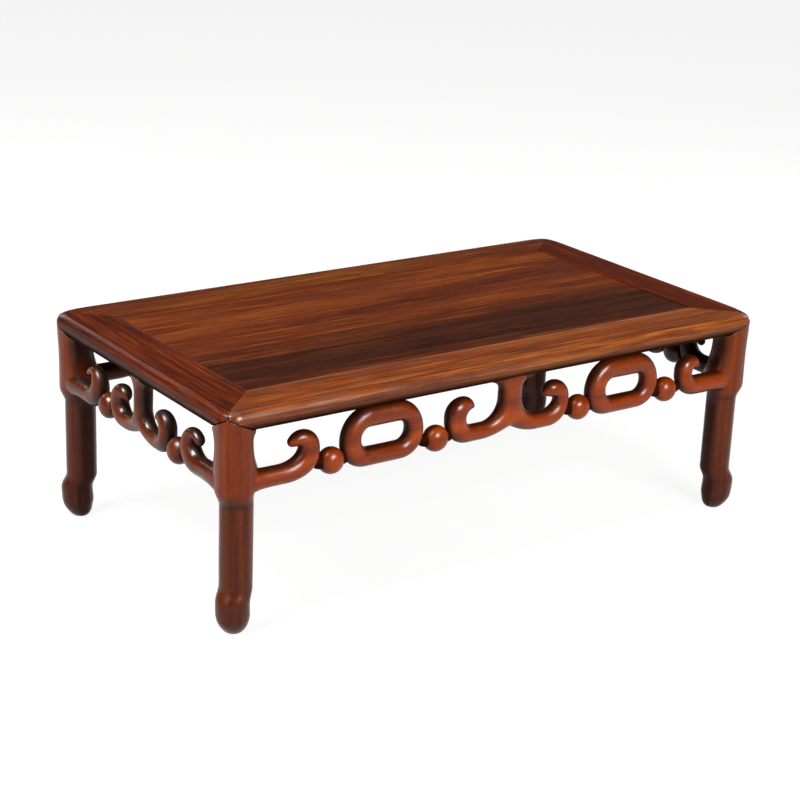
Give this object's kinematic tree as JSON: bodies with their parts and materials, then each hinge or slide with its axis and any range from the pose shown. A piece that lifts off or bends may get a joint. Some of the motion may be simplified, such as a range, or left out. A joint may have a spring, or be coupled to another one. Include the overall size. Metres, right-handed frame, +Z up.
{
  "type": "kang table",
  "caption": "Low rectangular hardwood kang table with a mitred frame-and-panel top, hoof feet and openwork aprons of hooks, beads, oval rings and double scrolls.",
  "frame": {"origin": "on the floor under the middle of the table", "axes": "+X along the table's length, +Y to the back, +Z up; the sides called front, back, left and right are as seen from -Y"},
  "size_m": [0.9, 0.495, 0.31],
  "materials": {
    "rail_wood": "satin",
    "end_rail_wood": "satin",
    "panel_wood": "satin",
    "leg_wood": "satin",
    "apron_wood": "satin",
    "batten_wood": "satin",
    "peg_wood": "satin"
  },
  "bodies": {
    "root": {"apron_back_arm_left": "apron_wood", "apron_back_arm_right": "apron_wood", "apron_back_bead_inner_left": "apron_wood", "apron_back_bead_inner_right": "apron_wood", "apron_back_bead_outer_left": "apron_wood", "apron_back_bead_outer_right": "apron_wood", "apron_back_pegs": "peg_wood", "apron_back_ring_left": "apron_wood", "apron_back_ring_right": "apron_wood", "apron_back_scroll": "apron_wood", "apron_front_arm_left": "apron_wood", "apron_front_arm_right": "apron_wood", "apron_front_bead_inner_left": "apron_wood", "apron_front_bead_inner_right": "apron_wood", "apron_front_bead_outer_left": "apron_wood", "apron_front_bead_outer_right": "apron_wood", "apron_front_pegs": "peg_wood", "apron_front_ring_left": "apron_wood", "apron_front_ring_right": "apron_wood", "apron_front_scroll": "apron_wood", "apron_left_arm_back": "apron_wood", "apron_left_arm_front": "apron_wood", "apron_left_bead_back": "apron_wood", "apron_left_bead_front": "apron_wood", "apron_left_pegs": "peg_wood", "apron_left_scroll": "apron_wood", "apron_right_arm_back": "apron_wood", "apron_right_arm_front": "apron_wood", "apron_right_bead_back": "apron_wood", "apron_right_bead_front": "apron_wood", "apron_right_pegs": "peg_wood", "apron_right_scroll": "apron_wood", "batten_1": "batten_wood", "batten_2": "batten_wood", "batten_3": "batten_wood", "leg_back_left": "leg_wood", "leg_back_right": "leg_wood", "leg_front_left": "leg_wood", "leg_front_right": "leg_wood", "panel_board_back": "panel_wood", "panel_board_front": "panel_wood", "rail_end_left": "end_rail_wood", "rail_end_right": "end_rail_wood", "rail_long_back": "rail_wood", "rail_long_front": "rail_wood"}
  },
  "joints": []
}
